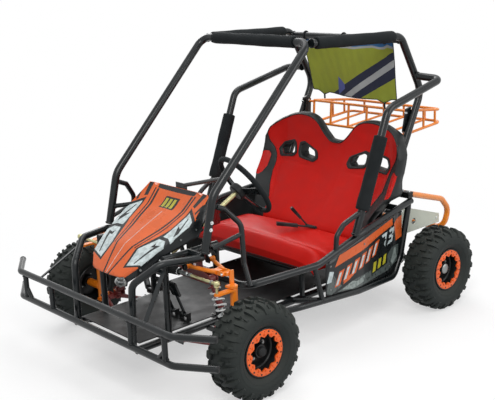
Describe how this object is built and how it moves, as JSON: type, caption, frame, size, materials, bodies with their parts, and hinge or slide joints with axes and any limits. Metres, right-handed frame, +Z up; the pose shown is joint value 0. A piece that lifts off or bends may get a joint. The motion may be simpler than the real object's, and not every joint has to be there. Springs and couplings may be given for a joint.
{
  "type": "racing kart",
  "caption": "Off-road racing kart with a tube frame, padded roll cage, red bench seat, knobbly tyres, sprung front wheels and a luggage rack.",
  "frame": {"origin": "centre of the bounding box, on the floor", "axes": "+Z up, the front faces -Y, the driver's left is +X"},
  "size_m": [1.2558, 1.7565, 1.199],
  "materials": {
    "frame_black": "satin",
    "foam_black": "matt foam sleeve",
    "seat_red": "satin vinyl",
    "cowl_orange": "gloss",
    "panel_black": "satin",
    "rack_orange": "gloss powder coat",
    "ring_orange": "satin",
    "tyre_rubber": "matt",
    "rim_black": "satin",
    "arm_red": "satin",
    "knuckle_orange": "satin",
    "steel_pale": "brushed",
    "spring_white": "satin",
    "plate_grey": "matt",
    "banner_cloth": "matt woven",
    "engine_grey": "cast",
    "trim_black": "matt"
  },
  "bodies": {
    "chassis": {"chassis_frame": "frame_black", "front_bumper": "frame_black", "floor_pan": "panel_black", "nose_cowl": "cowl_orange", "cage_front_hoop": "frame_black", "cage_rear_hoop": "frame_black", "pad_front": "foam_black", "seat_back": "seat_red", "seat_cushion": "seat_red", "belt_stalks": "trim_black", "rack_housing": "trim_black", "front_tower": "arm_red", "engine": "engine_grey", "engine_plate": "plate_grey", "luggage_rack": "rack_orange", "rear_guard": "rack_orange", "rear_banner": "banner_cloth", "side_hoop_left": "frame_black", "side_frame_left": "frame_black", "side_panel_left": "panel_black", "pad_roof_left": "foam_black", "pad_side_left": "foam_black", "side_hoop_right": "frame_black", "side_frame_right": "frame_black", "side_panel_right": "panel_black", "pad_roof_right": "foam_black", "pad_side_right": "foam_black"},
    "steering": {"steering_wheel": "trim_black"},
    "rack": {"steering_rack": "steel_pale"},
    "rear_wheels": {"rear_axle": "steel_pale", "rear_tyre_left": "tyre_rubber", "rear_tyre_right": "tyre_rubber", "rear_rim_left": "rim_black", "rear_rim_right": "rim_black", "rear_ring_left": "ring_orange", "rear_ring_right": "ring_orange"},
    "throttle": {"throttle_pedal": "frame_black"},
    "brake": {"brake_pedal": "frame_black"},
    "lower_arm_left": {"lower_arm_left": "arm_red"},
    "upper_arm_left": {"upper_arm_left": "knuckle_orange"},
    "upright_left": {"upright_left": "knuckle_orange"},
    "knuckle_left": {"knuckle_left": "knuckle_orange"},
    "tie_rod_left": {"tie_rod_left": "steel_pale"},
    "shock_body_left": {"shock_body_left": "arm_red", "spring_left": "spring_white"},
    "shock_rod_left": {"shock_rod_left": "steel_pale"},
    "front_wheel_left": {"front_tyre_left": "tyre_rubber", "front_rim_left": "rim_black", "front_ring_left": "ring_orange"},
    "lower_arm_right": {"lower_arm_right": "arm_red"},
    "upper_arm_right": {"upper_arm_right": "knuckle_orange"},
    "upright_right": {"upright_right": "knuckle_orange"},
    "knuckle_right": {"knuckle_right": "knuckle_orange"},
    "tie_rod_right": {"tie_rod_right": "steel_pale"},
    "shock_body_right": {"shock_body_right": "arm_red", "spring_right": "spring_white"},
    "shock_rod_right": {"shock_rod_right": "steel_pale"},
    "front_wheel_right": {"front_tyre_right": "tyre_rubber", "front_rim_right": "rim_black", "front_ring_right": "ring_orange"}
  },
  "joints": [
    {"name": "steer", "type": "hinge", "parent": "chassis", "child": "steering", "pos_m": [0.195, -0.2571, 0.658], "axis": [0.1795, 0.8185, 0.5457], "range_deg": [-60, 60]},
    {"name": "rack_slide", "type": "slide", "parent": "chassis", "child": "rack", "axis": [1, 0, 0], "range_m": [-0.0285, 0.0285]},
    {"name": "travel_left", "type": "hinge", "parent": "chassis", "child": "lower_arm_left", "pos_m": [0.232, -0.5391, 0.15], "axis": [0, -1, 0], "range_deg": [-4, 6], "stiffness_Nm_per_rad": 300},
    {"name": "upper_left", "type": "hinge", "parent": "chassis", "child": "upper_arm_left", "pos_m": [0.232, -0.5391, 0.425], "axis": [0, -1, 0], "range_deg": [-4, 6]},
    {"name": "stay_upright_left", "type": "hinge", "parent": "lower_arm_left", "child": "upright_left", "pos_m": [0.395, -0.5391, 0.15], "axis": [0, -1, 0], "range_deg": [-6, 4]},
    {"name": "tie_left", "type": "hinge", "parent": "rack", "child": "tie_rod_left", "pos_m": [0.267, -0.6141, 0.412], "axis": [0, -1, 0], "range_deg": [-4, 6]},
    {"name": "shock_tilt_left", "type": "hinge", "parent": "chassis", "child": "shock_body_left", "pos_m": [0.262, -0.4991, 0.362], "axis": [0, -1, 0], "range_deg": [-0.55, 0.82]},
    {"name": "shock_slide_left", "type": "slide", "parent": "shock_body_left", "child": "shock_rod_left", "axis": [0.4337, 0, -0.9011], "range_m": [-0.0126, 0.0084], "deforming": ["spring_left"]},
    {"name": "kingpin_left", "type": "hinge", "parent": "upright_left", "child": "knuckle_left", "pos_m": [0.43, -0.5391, 0.1775], "axis": [0, 0, 1], "range_deg": [-22, 22]},
    {"name": "spin_front_left", "type": "hinge", "parent": "knuckle_left", "child": "front_wheel_left", "pos_m": [0.526, -0.5391, 0.1775], "axis": [1, 0, 0], "continuous": true},
    {"name": "travel_right", "type": "hinge", "parent": "chassis", "child": "lower_arm_right", "pos_m": [-0.232, -0.5391, 0.15], "axis": [0, 1, 0], "range_deg": [-4, 6], "stiffness_Nm_per_rad": 300},
    {"name": "upper_right", "type": "hinge", "parent": "chassis", "child": "upper_arm_right", "pos_m": [-0.232, -0.5391, 0.425], "axis": [0, 1, 0], "range_deg": [-4, 6]},
    {"name": "stay_upright_right", "type": "hinge", "parent": "lower_arm_right", "child": "upright_right", "pos_m": [-0.395, -0.5391, 0.15], "axis": [0, 1, 0], "range_deg": [-6, 4]},
    {"name": "tie_right", "type": "hinge", "parent": "rack", "child": "tie_rod_right", "pos_m": [-0.267, -0.6141, 0.412], "axis": [0, 1, 0], "range_deg": [-4, 6]},
    {"name": "shock_tilt_right", "type": "hinge", "parent": "chassis", "child": "shock_body_right", "pos_m": [-0.262, -0.4991, 0.362], "axis": [0, 1, 0], "range_deg": [-0.55, 0.82]},
    {"name": "shock_slide_right", "type": "slide", "parent": "shock_body_right", "child": "shock_rod_right", "axis": [-0.4337, 0, -0.9011], "range_m": [-0.0126, 0.0084], "deforming": ["spring_right"]},
    {"name": "kingpin_right", "type": "hinge", "parent": "upright_right", "child": "knuckle_right", "pos_m": [-0.43, -0.5391, 0.1775], "axis": [0, 0, 1], "range_deg": [-22, 22]},
    {"name": "spin_front_right", "type": "hinge", "parent": "knuckle_right", "child": "front_wheel_right", "pos_m": [-0.526, -0.5391, 0.1775], "axis": [1, 0, 0], "continuous": true},
    {"name": "spin_rear", "type": "hinge", "parent": "chassis", "child": "rear_wheels", "pos_m": [0, 0.5739, 0.1775], "axis": [1, 0, 0], "continuous": true},
    {"name": "press_throttle", "type": "hinge", "parent": "chassis", "child": "throttle", "pos_m": [0.06, -0.5291, 0.196], "axis": [1, 0, 0], "range_deg": [0, 20], "stiffness_Nm_per_rad": 1.5},
    {"name": "press_brake", "type": "hinge", "parent": "chassis", "child": "brake", "pos_m": [0.13, -0.5291, 0.196], "axis": [1, 0, 0], "range_deg": [0, 20], "stiffness_Nm_per_rad": 1.5}
  ],
  "couplings": [
    {"joint": "rack_slide", "follows": "steer", "m_per_rad": 0.0272},
    {"joint": "upper_left", "follows": "travel_left", "ratio": 1},
    {"joint": "stay_upright_left", "follows": "travel_left", "ratio": -1},
    {"joint": "tie_left", "follows": "travel_left", "ratio": 1},
    {"joint": "shock_tilt_left", "follows": "travel_left", "ratio": 0.1353},
    {"joint": "shock_slide_left", "follows": "travel_left", "m_per_rad": -0.11955},
    {"joint": "kingpin_left", "follows": "steer", "ratio": 0.36667},
    {"joint": "upper_right", "follows": "travel_right", "ratio": 1},
    {"joint": "stay_upright_right", "follows": "travel_right", "ratio": -1},
    {"joint": "tie_right", "follows": "travel_right", "ratio": 1},
    {"joint": "shock_tilt_right", "follows": "travel_right", "ratio": 0.1353},
    {"joint": "shock_slide_right", "follows": "travel_right", "m_per_rad": -0.11955},
    {"joint": "kingpin_right", "follows": "steer", "ratio": 0.36667}
  ]
}
